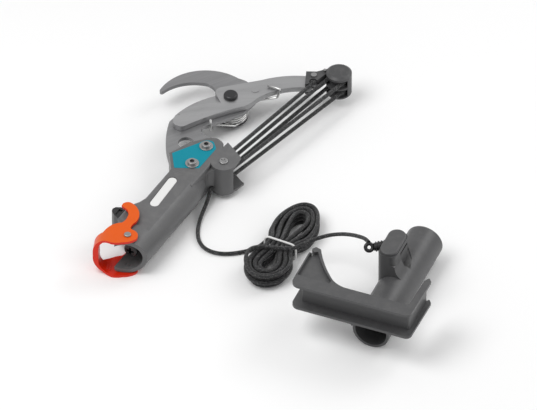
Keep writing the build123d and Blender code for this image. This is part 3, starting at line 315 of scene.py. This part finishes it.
def steel(name, colour, deep, rough, turn=0.0, lines=0.06, spots=0.25, metal=1.0):
    """Bare or coated steel with grinding lines, sheen bands and dark specks."""
    material, tree, shader = new_finish(name)
    marks = place_group(tree, LINES, Turn=(0, 0, math.radians(turn)))
    tone = shades(tree, marks["Band"], deep, colour)
    lined = over(tree, stretch(tree, marks["Lines"], 0.5, 0.8, 0.0, 0.35), tone, tuple(c * 0.6 for c in deep))
    spotted = over(tree, sums(tree, "MULTIPLY", marks["Spots"], spots), lined, tuple(c * 0.35 for c in deep))
    tree.links.new(spotted, shader.inputs["Base Color"])
    tree.links.new(stretch(tree, marks["Band"], 0, 1, rough + 0.08, rough - 0.04), shader.inputs["Roughness"])
    shader.inputs["Metallic"].default_value = metal
    bump = put(tree, "Bump", Strength=lines, Distance=0.0003, Height=marks["Lines"])
    tree.links.new(bump.outputs[0], shader.inputs["Normal"])
    return material


def braided(name, dark, light, fleck, strands=8.0, lay=1.0):
    """Braided cord: crossing strands with pale flecks, and painted shade darkening the grooves between strands."""
    material, tree, shader = new_finish(name)
    weave = place_group(tree, BRAID, Strands=strands, Lay=lay)
    # Painted shade: the weave's grooves take the darker colour, its crowns the lighter.
    tone = shades(tree, weave["Shade"], dark, light)
    flecked = over(tree, weave["Fleck"], tone, fleck)
    tree.links.new(flecked, shader.inputs["Base Color"])
    tree.links.new(stretch(tree, weave["Fleck"], 0, 1, 0.82, 0.6), shader.inputs["Roughness"])
    shader.inputs["Specular IOR Level"].default_value = 0.3
    shader.inputs["Sheen Weight"].default_value = 0.2
    bump = put(tree, "Bump", Strength=0.9, Distance=0.0005, Height=weave["Height"])
    tree.links.new(bump.outputs[0], shader.inputs["Normal"])
    return material


finishes = {
    "body_grey": moulded("body grey", (0.118, 0.118, 0.12), (0.11, 0.11, 0.112), 0.4, grain=0.16),
    "black_plastic": moulded(
        "black plastic", (0.012, 0.012, 0.013), (0.009, 0.009, 0.01), 0.26, grain=0.06, dust=0.03
    ),
    "dark_plastic": moulded("block black", (0.06, 0.06, 0.062), (0.05, 0.05, 0.052), 0.42, grain=0.2),
    "panel_teal": moulded(
        "panel teal", (0.003, 0.25, 0.33), (0.002, 0.23, 0.305), 0.5, grain=0.25, dust=0.0, specular=0.2
    ),
    "plate_white": moulded("bare plate", (0.8, 0.8, 0.79), (0.76, 0.76, 0.75), 0.3, grain=0.03, dust=0.03),
    "grip_grey": moulded("grip grey", (0.078, 0.078, 0.08), (0.07, 0.07, 0.072), 0.38, grain=0.16, dust=0.06),
    # Painted shade: the bracket's sides, underside and low parts are painted a darker red-orange than its top.
    "bracket_orange": moulded(
        "bracket orange", (0.74, 0.1, 0.0005), (0.7, 0.092, 0.0004), 0.34,
        grain=0.06, scuffed=0.03, dust=0.0, specular=0.3, painted_shade_colour=(0.66, 0.018, 0.002),
    ),
    "fastener_steel": steel(
        "screw steel", (0.34, 0.34, 0.34), (0.3, 0.3, 0.3), 0.32, turn=30, spots=0.06, lines=0.03
    ),
    "bolt_black": steel(
        "blackened steel", (0.035, 0.035, 0.037), (0.028, 0.028, 0.03), 0.34, turn=10, metal=0.5
    ),
    "spring_steel": steel("spring wire", (0.6, 0.6, 0.59), (0.5, 0.5, 0.5), 0.24, spots=0.1),
    "blade_grey": steel("hook steel", (0.3, 0.3, 0.305), (0.255, 0.255, 0.26), 0.42, turn=-58, lines=0.14),
    "lever_steel": steel("lever steel", (0.39, 0.39, 0.395), (0.34, 0.34, 0.345), 0.38, turn=-35, lines=0.14),
    "cord_black": braided("braided cord", (0.008, 0.008, 0.009), (0.036, 0.036, 0.037), (0.15, 0.15, 0.15)),
    "tie_grey": moulded("tie wire coat", (0.82, 0.82, 0.81), (0.76, 0.76, 0.75), 0.4, grain=0.05, dust=0.0),
}
slot_of = {part["node"]: part["material_slot"] for part in frame["record"]["subparts"]}
for name, node in nodes.items():
    finish = finishes[slot_of[name]]
    if node.material_slots:
        for place in node.material_slots:
            place.material = finish
    else:
        node.data.materials.append(finish)


# ---------------------------------------------------------------- floor
def studio_floor():
    shape = bmesh.new()
    bmesh.ops.create_grid(shape, x_segments=1, y_segments=1, size=6.0)
    mesh = bpy.data.meshes.new("studio_floor")
    shape.to_mesh(mesh)
    shape.free()
    floor = bpy.data.objects.new("studio_floor", mesh)
    scene.collection.objects.link(floor)
    floor.location = (0.08, 0.13, cad_box[0].z - 0.0001)
    material, tree, shader = new_finish("pale floor")
    shader.inputs["Base Color"].default_value = (0.97, 0.97, 0.97, 1)
    shader.inputs["Roughness"].default_value = 0.9
    shader.inputs["Specular IOR Level"].default_value = 0.1
    mesh.materials.append(material)


fill_light, mirrored_share = 0.52, 0.75


def plain_world():
    world = bpy.data.worlds.new("studio")
    scene.world = world
    world.use_nodes = True
    tree = world.node_tree
    seen = put(tree, "LightPath").outputs
    mirrored = sums(tree, "MULTIPLY", seen["Is Glossy Ray"], mirrored_share)
    any_seen = sums(tree, "MAXIMUM", seen["Is Camera Ray"], mirrored)
    tree.links.new(stretch(tree, any_seen, 0, 1, fill_light, 1.0), tree.nodes["Background"].inputs["Strength"])
    tree.nodes["Background"].inputs["Color"].default_value = (1, 1, 1, 1)


studio_floor()
plain_world()


# ---------------------------------------------------------------- tubes that follow a line
def smooth_line(points):
    """Points read from the NURBS spline whose control points are given."""
    data = bpy.data.curves.new("route", "CURVE")
    data.dimensions = "3D"
    data.resolution_u = 10
    spline = data.splines.new("NURBS")
    spline.points.add(len(points) - 1)
    for place, point in zip(spline.points, points):
        place.co = (*point, 1.0)
    spline.order_u = 3
    spline.use_endpoint_u = True
    holder = bpy.data.objects.new("route", data)
    scene.collection.objects.link(holder)
    mesh = bpy.data.meshes.new_from_object(holder.evaluated_get(bpy.context.evaluated_depsgraph_get()))
    line = [vertex.co.copy() for vertex in mesh.vertices]
    bpy.data.meshes.remove(mesh)
    bpy.data.objects.remove(holder)
    return line


def evenly(line, step):
    """The same line with its points an even step apart."""
    far = [0.0]
    for a, b in zip(line, line[1:]):
        far.append(far[-1] + (b - a).length)
    count = max(2, round(far[-1] / step))
    even, leg = [], 0
    for k in range(count + 1):
        reach = far[-1] * k / count
        while leg < len(line) - 2 and far[leg + 1] < reach:
            leg += 1
        share = (reach - far[leg]) / max(far[leg + 1] - far[leg], 1e-9)
        even.append(line[leg].lerp(line[leg + 1], min(1.0, share)))
    return even


map_scale = 8.0


def tube(name, line, radius, sides, finish, closed=False):
    """A round tube along a line, with its own along and round map in cord_map."""
    ways = []
    count = len(line)
    for k in range(count):
        before = line[(k - 1) % count] if closed else line[max(k - 1, 0)]
        after = line[(k + 1) % count] if closed else line[min(k + 1, count - 1)]
        ways.append((after - before).normalized())
    across = ways[0].orthogonal().normalized()
    shape = bmesh.new()
    layer = shape.loops.layers.uv.new("cord_map")
    rings, run, runs = [], 0.0, []
    for k, (point, way) in enumerate(zip(line, ways)):
        if k:
            across = (across - way * across.dot(way)).normalized()
            run += (point - line[k - 1]).length
        other = way.cross(across)
        size = radius(k / (count - 1)) if callable(radius) else radius
        turns_round = [math.tau * j / sides for j in range(sides)]
        rings.append([
            shape.verts.new(point + (across * math.cos(t) + other * math.sin(t)) * size) for t in turns_round
        ])
        runs.append(run)
    unit = 2 * math.pi * (radius(0.5) if callable(radius) else radius)
    last = count if closed else count - 1
    for k in range(last):
        a, b = rings[k], rings[(k + 1) % count]
        for j in range(sides):
            face = shape.faces.new((a[j], a[(j + 1) % sides], b[(j + 1) % sides], b[j]))
            face.smooth = True
            end = runs[k + 1] if k + 1 < count else runs[k] + (line[0] - line[k]).length
            for loop, (u, v) in zip(face.loops, ((runs[k], j), (runs[k], j + 1), (end, j + 1), (end, j))):
                loop[layer].uv = (u / unit * map_scale, v / sides)
    if not closed:
        for ring, flip in ((rings[0], True), (rings[-1], False)):
            cap = shape.faces.new(list(reversed(ring)) if flip else ring)
            cap.smooth = False
    bmesh.ops.recalc_face_normals(shape, faces=shape.faces)
    mesh = bpy.data.meshes.new(name)
    shape.to_mesh(mesh)
    shape.free()
    mesh.materials.append(finishes[finish])
    piece = bpy.data.objects.new(name, mesh)
    scene.collection.objects.link(piece)
    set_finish(piece, finish)
    return piece


# ---------------------------------------------------------------- the pull cord
cord_radius = 2.0
floor_level = -23.5
lying = floor_level + cord_radius
lower_axle = (23.3, 144.9)
upper_axle = (55.5, 321.0)
lower_levels = (10.0, 0.0, -10.0)
upper_levels = (8.0, -3.5)
pitch_radius = 8.0
run_angle = math.degrees(math.atan2(upper_axle[1] - lower_axle[1], upper_axle[0] - lower_axle[0]))

lead_angle = run_angle + 90 + 19.0
lead_from = (
    lower_axle[0] + pitch_radius * heading(lead_angle)[0],
    lower_axle[1] + pitch_radius * heading(lead_angle)[1],
    lower_levels[2],
)
lead_way = heading(lead_angle + 90)
outlet = (lead_from[0] + 15 * lead_way[0], lead_from[1] + 15 * lead_way[1], lower_levels[2])
hank_in = (96.0, 87.0, lying)
hank_in_way = heading(53.0)
head_points = [
    lead_from,
    outlet,
    (21.3, 115.0, -15.6),
    (23.8, 98.5, lying + 1.2),
    (30.6, 79.4, lying),
    (39.8, 66.4, lying),
    (50.5, 59.7, lying),
    (63.1, 59.3, lying),
    (75.6, 64.9, lying),
    (hank_in[0] - 13 * hank_in_way[0], hank_in[1] - 13 * hank_in_way[1], lying),
]

# The hank in its own axes: a runs along it, b across it to the right
hank_centre = (121.0, 89.0)
along, across = heading(93.7), heading(3.7)
waist_half, shoulder_half, shoulder_at = 13.6, 22.0, 25.0
top_spread, bottom_spread, end_step = 1.3, 0.45, 1.2
top_length, bottom_length = 68.0, 53.0
key_inset, layer_step, layers, keys_per_layer, climb_keys, waist_lift = 0.625, 4.6, 4, 20, 4, 2.4
bend = 0.414


def hank_point(a, b, z):
    return (
        hank_centre[0] + a * along[0] + b * across[0],
        hank_centre[1] + a * along[1] + b * across[1],
        z,
    )


def hank_pair(k, inset, z):
    """Two points of the route at key k of a loop, one each side of it."""
    wider = end_step * inset
    wide = shoulder_half - wider
    high = shoulder_at + top_spread * wider
    low = -shoulder_at - bottom_spread * wider
    top, bottom = top_length - wider, -(bottom_length - wider)
    waist = waist_half - inset
    up, down = bend * (top - high), bend * (low - bottom)
    end = bend * wide
    near, by_waist = 7.0, 7.0
    pairs = [
        ((-by_waist, -waist), (by_waist, -waist)),
        ((high - near, -wide), (high + up, -wide)),
        ((top, -end), (top, end)),
        ((high + up, wide), (high - near, wide)),
        ((by_waist, waist), (-by_waist, waist)),
        ((low + near, wide), (low - down, wide)),
        ((bottom, end), (bottom, -end)),
        ((low - down, -wide), (low + near, -wide)),
    ]
    lift = waist_lift if k % 4 == 0 else 0.0
    return [hank_point(a, b, z + lift) for a, b in pairs[k % 8]]


def hank_route():
    points, key = [], 0
    for layer in range(layers):
        z = lying + layer * layer_step
        for k in range(keys_per_layer + 1):
            inset = key_inset * (k if layer % 2 == 0 else keys_per_layer - k)
            if key > 0:
                points += hank_pair(key, inset, z)
            key += 1
        for k in range(1, climb_keys):
            points += hank_pair(key, inset, z + layer_step * k / climb_keys)
            key += 1
    return points


hank_top = lying + layers * layer_step
hank_points = hank_route()
hank_points[-2] = (*hank_points[-2][:2], hank_top + 0.6)
hank_points[-1] = (*hank_points[-1][:2], hank_top + 1.4)
hank_out = hank_point(-9.0, 17.5, hank_top + 3.8)
out_step = heading(56.0)
out_way = Vector((
    out_step[0] * across[0] + out_step[1] * along[0],
    out_step[0] * across[1] + out_step[1] * along[1],
    0.14,
)).normalized()
grip_turn = 8.0
grip_at = (264.9, 19.18, -4.2)


def on_grip(x, y, z):
    """A point in the grip's axes: x across its sleeve, y along it, z up from its axis."""
    right, back = heading(grip_turn), heading(grip_turn + 90)
    return (grip_at[0] + x * right[0] + y * back[0], grip_at[1] + x * right[1] + y * back[1], grip_at[2] + z)


eye = on_grip(-32.5, 76.7, 38.0)
grip_points = [
    tuple(Vector(hank_out) + out_way * 10),
    (153.2, 101.5, 5.0),
    (166.0, 108.5, 11.0),
    (180.5, 109.8, 18.0),
    (194.5, 106.5, 25.5),
    (206.5, 101.5, 32.0),
    (214.5, 97.0, 36.6),
    (eye[0] - 1.4, eye[1] + 1.8, eye[2] + 4.6),
]
route = [mm(*p) for p in head_points + [hank_in] + hank_points + [hank_out] + grip_points]
cord_step = 0.0014
cord_sides = 14
cord_line = evenly(smooth_line(route), cord_step)
pull_cord = tube("pull_cord", cord_line, cord_radius * MM, cord_sides, "cord_black")
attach(pull_cord, "head")
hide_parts("cord_head", "cord_hank", "cord_grip")

# The pale tie round the hank's waist
tie_wire = 1.1
tie_half = waist_half + cord_radius + tie_wire + 0.5
tie_top = lying + (layers - 1) * layer_step + waist_lift + cord_radius + tie_wire + 0.4
tie_low = floor_level + tie_wire
tie_corner = 5.5


def tie_point(b, z):
    return mm(*hank_point(0, b, z))


def rounded_loop(half, low, high, corner, steps):
    points = []
    for sign_b, sign_z, start in ((1, 1, 0), (-1, 1, 90), (-1, -1, 180), (1, -1, 270)):
        centre_z = high - corner if sign_z > 0 else low + corner
        for k in range(steps + 1):
            turn = heading(start + 90 * k / steps)
            points.append((sign_b * (half - corner) + corner * turn[0], centre_z + corner * turn[1]))
    return points


tie_line = [tie_point(b, z) for b, z in rounded_loop(tie_half, tie_low, tie_top, tie_corner, 8)]
hank_band = tube("hank_band", tie_line, tie_wire * MM, 12, "tie_grey", closed=True)
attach(hank_band, "head")
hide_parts("hank_tie")

# ---------------------------------------------------------------- the connector at the cord's end, with its eye
barrel_turn = 30.0
barrel_way = Vector((*heading(grip_turn + barrel_turn), 0))
barrel_side = barrel_way.cross(Vector((0, 0, 1)))
eye_facing = (barrel_side + Vector((0, 0, 0.9))).normalized()
eye_across = eye_facing.cross(barrel_way)
eye_middle = mm(*eye)
ring_half, ring_wire = 3.6, 1.9
barrel_from, barrel_to = 4.6, 16.8
ring_line = []
for k in range(40):
    turn = heading(9 * k)
    ring_line.append(eye_middle + (barrel_way * turn[0] + eye_across * turn[1]) * ring_half * MM)
barrel_steps = 60
barrel_line = [
    eye_middle + barrel_way * (barrel_from + (barrel_to - barrel_from) * k / barrel_steps) * MM
    for k in range(barrel_steps + 1)
]


rib_from, rib_to, rib_rate, rib_gap, rib_height = 0.15, 0.92, 4.0, 0.45, 0.9
barrel_slim, barrel_widening = 4.0, 1.3


def barrel_size(share):
    """Radius of the barrel along its length, with three ribs round it."""
    on_rib = rib_from < share < rib_to and (share * rib_rate) % 1.0 > rib_gap
    return (barrel_slim + barrel_widening * share + (rib_height if on_rib else 0.0)) * MM


# ---------------------------------------------------------------- the tackle's runs and turns
knot_at = (38.2, 298.8, 10.4)
to_right = heading(run_angle - 90)


def tangent_point(axle, side, z):
    return mm(axle[0] + side * pitch_radius * to_right[0], axle[1] + side * pitch_radius * to_right[1], z)


tackle_runs = [
    ((-1, lower_levels[0]), None),
    ((-1, lower_levels[1]), (-1, upper_levels[0])),
    ((-1, lower_levels[2]), (-1, upper_levels[1])),
    ((1, lower_levels[0]), (1, upper_levels[0])),
    ((1, lower_levels[1]), (1, upper_levels[1])),
]
for number, (low, high) in enumerate(tackle_runs, 1):
    start = tangent_point(lower_axle, *low)
    end = tangent_point(upper_axle, *high) if high else mm(*knot_at)
    line = evenly([start, end], 0.003)
    piece = tube(f"tackle_run_{number}", line, cord_radius * MM, cord_sides, "cord_black")
    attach(piece, "tackle")
    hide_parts(f"strand_{number}")
    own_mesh(piece)


def turn_line(axle, z, start, sweep):
    steps = max(4, round(abs(sweep) / 6))
    line = []
    for k in range(steps + 1):
        way = heading(start + sweep * k / steps)
        line.append(mm(axle[0] + pitch_radius * way[0], axle[1] + pitch_radius * way[1], z))
    return line


def join(name, pieces):
    """One piece from several, its meshes in one."""
    shape = bmesh.new()
    for piece in pieces:
        shape.from_mesh(piece.data)
    mesh = bpy.data.meshes.new(name)
    shape.to_mesh(mesh)
    shape.free()
    mesh.materials.append(pieces[0].data.materials[0])
    joined = bpy.data.objects.new(name, mesh)
    scene.collection.objects.link(joined)
    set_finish(joined, pieces[0]["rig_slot"])
    for piece in pieces:
        bpy.data.objects.remove(piece)
    return joined


connector = join("eye_connector", [
    tube("ring", ring_line, ring_wire * MM, 14, "black_plastic", closed=True),
    tube("barrel", barrel_line, barrel_size, 28, "black_plastic"),
])
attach(connector, "head")
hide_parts("cord_connector")

closing_turn = 27.1
turns = [
    tube("turn", turn_line(lower_axle, z, run_angle + 90, sweep), cord_radius * MM, cord_sides, "cord_black")
    for z, sweep in ((lower_levels[0], 180), (lower_levels[1], 180), (lower_levels[2], 19.0))
]
turns_low = join("lower_turns", turns)
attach(turns_low, "head")
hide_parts("lower_wraps")
upper_sweep = 180 + closing_turn
turns = [
    tube("turn", turn_line(upper_axle, z, run_angle - 90, upper_sweep), cord_radius * MM, cord_sides, "cord_black")
    for z in upper_levels
]
turns_high = join("upper_turns", turns)
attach(turns_high, "lever")
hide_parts("upper_wraps")


# The knot that ends the tackle's cord: a trefoil of the same cord, pulled tight
def knot_line():
    line = []
    for k in range(72):
        t = math.tau * k / 72
        x = (math.sin(t) + 2 * math.sin(2 * t)) * 0.62
        y = (math.cos(t) - 2 * math.cos(2 * t)) * 0.62
        z = -math.sin(3 * t) * 1.3
        line.append(mm(knot_at[0] + x, knot_at[1] + y, knot_at[2] + z + 0.6))
    return line


knot = tube("tackle_knot", knot_line(), 1.25 * MM, 12, "cord_black", closed=True)
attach(knot, "lever")
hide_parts("dead_end_knot")

# ---------------------------------------------------------------- the return spring, in three pieces
pivot = (-25.0, 242.3)
spring_radius, spring_wire, spring_pitch = 16.3, 1.2, 2.85
spring_first, spring_last, spring_top = -5.0, -21.4 - 4 * 360, -4.2


def spring_point(angle):
    way = heading(angle)
    return mm(
        pivot[0] + spring_radius * way[0],
        pivot[1] + spring_radius * way[1],
        spring_top - spring_pitch * (spring_first - angle) / 360,
    )


def spring_way(angle):
    way = heading(angle)
    return Vector((way[1], -way[0], -spring_pitch / (2 * math.pi * spring_radius))).normalized()


coil_steps = 240
coil_line = [
    spring_point(spring_first + (spring_last - spring_first) * k / coil_steps) for k in range(coil_steps + 1)
]
coil = tube("spring_coil", coil_line, spring_wire * MM, 10, "spring_steel")


def rounded_path(points, radius):
    """A path with its corners rounded, for bent wire."""
    line = [points[0]]
    for before, corner, after in zip(points, points[1:], points[2:]):
        a, b = (before - corner).normalized(), (after - corner).normalized()
        half = a.angle(b) / 2
        reach = min(radius / math.tan(half), 0.48 * (before - corner).length, 0.48 * (after - corner).length)
        start, end = corner + a * reach, corner + b * reach
        for k in range(7):
            t = k / 6
            line.append(start * (1 - t) ** 2 + corner * 2 * t * (1 - t) + end * t * t)
    return line + [points[-1]]


start, end = coil_line[0], coil_line[-1]
lever_leg_points = [
    mm(0.5, 272.9, 10.2), mm(14.6, 274.6, 10.2), mm(12.6, 271.0, 1.0), mm(-6.5, 262.0, -4.2),
    start - spring_way(spring_first) * 9 * MM, start,
]
hook_leg_points = [
    end, end + spring_way(spring_last) * 8 * MM,
    mm(-27.5, 211.5, -7.0), mm(-24.4, 200.6, -6.2), mm(-23.9, 200.2, 9.0),
]
lever_leg = tube("spring_leg_lever", rounded_path(lever_leg_points, 0.0026), spring_wire * MM, 10, "spring_steel")
hook_leg = tube("spring_leg_hook", rounded_path(hook_leg_points, 0.002), spring_wire * MM, 10, "spring_steel")
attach(lever_leg, "lever")
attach(hook_leg, "head")
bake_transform(coil)
for piece in (coil, lever_leg, hook_leg):
    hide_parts("return_spring")

# ---------------------------------------------------------------- painted shade: dark hex plates in the panel screws' recesses
def repeated_prisms():
    """A Geometry Nodes tree: one prism, set at every point it is given."""
    tree = bpy.data.node_groups.new("repeated prisms", "GeometryNodeTree")
    tree.interface.new_socket("Places", in_out="INPUT", socket_type="NodeSocketGeometry")
    sockets = [
        tree.interface.new_socket(label, in_out="INPUT", socket_type="NodeSocket" + kind)
        for label, kind in (("Sides", "Int"), ("Radius", "Float"), ("Depth", "Float"), ("Finish", "Material"))
    ]
    tree.interface.new_socket("Prisms", in_out="OUTPUT", socket_type="NodeSocketGeometry")
    inside = tree.nodes.new("NodeGroupInput").outputs
    prism = tree.nodes.new("GeometryNodeMeshCylinder")
    spread = tree.nodes.new("GeometryNodeInstanceOnPoints")
    real = tree.nodes.new("GeometryNodeRealizeInstances")
    paint = tree.nodes.new("GeometryNodeSetMaterial")
    result = tree.nodes.new("NodeGroupOutput").inputs
    for source, target in (
        (inside["Sides"], prism.inputs["Vertices"]),
        (inside["Radius"], prism.inputs["Radius"]),
        (inside["Depth"], prism.inputs["Depth"]),
        (inside["Places"], spread.inputs["Points"]),
        (prism.outputs["Mesh"], spread.inputs["Instance"]),
        (spread.outputs["Instances"], real.inputs["Geometry"]),
        (real.outputs["Geometry"], paint.inputs["Geometry"]),
        (inside["Finish"], paint.inputs["Material"]),
        (paint.outputs["Geometry"], result["Prisms"]),
    ):
        tree.links.new(source, target)
    return tree, [socket.identifier for socket in sockets]


PRISMS, PRISM_KEYS = repeated_prisms()


def prisms_at(name, places, sides, radius, depth, slot):
    """A plain mesh of equal prisms at the given places, made by the tree."""
    mesh = bpy.data.meshes.new(name)
    mesh.from_pydata(places, [], [])
    holder = bpy.data.objects.new(name + "_places", mesh)
    scene.collection.objects.link(holder)
    maker = holder.modifiers.new("prisms", "NODES")
    maker.node_group = PRISMS
    for key, value in zip(PRISM_KEYS, (sides, radius, depth, finishes[slot])):
        maker[key] = value
    plain = bpy.data.meshes.new_from_object(holder.evaluated_get(bpy.context.evaluated_depsgraph_get()))
    bpy.data.objects.remove(holder)
    plain.name = name
    piece = bpy.data.objects.new(name, plain)
    scene.collection.objects.link(piece)
    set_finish(piece, slot)
    return piece


screw_at = [(-2.4, 126.3), (-3.1, 155.6)]
recess_floor = 19.1
shade_plate_thick = 0.3
# Painted shade: thin blackened-steel hex plates laid on the recess floors stand in for the shade inside the hex
# recesses.
recess_shade_plates = prisms_at(
    "screw_recess_shade_plates", [mm(x, y, recess_floor + shade_plate_thick / 2) for x, y in screw_at], 6, 2.5 * MM,
    shade_plate_thick * MM, "bolt_black",
)
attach(recess_shade_plates, "head")
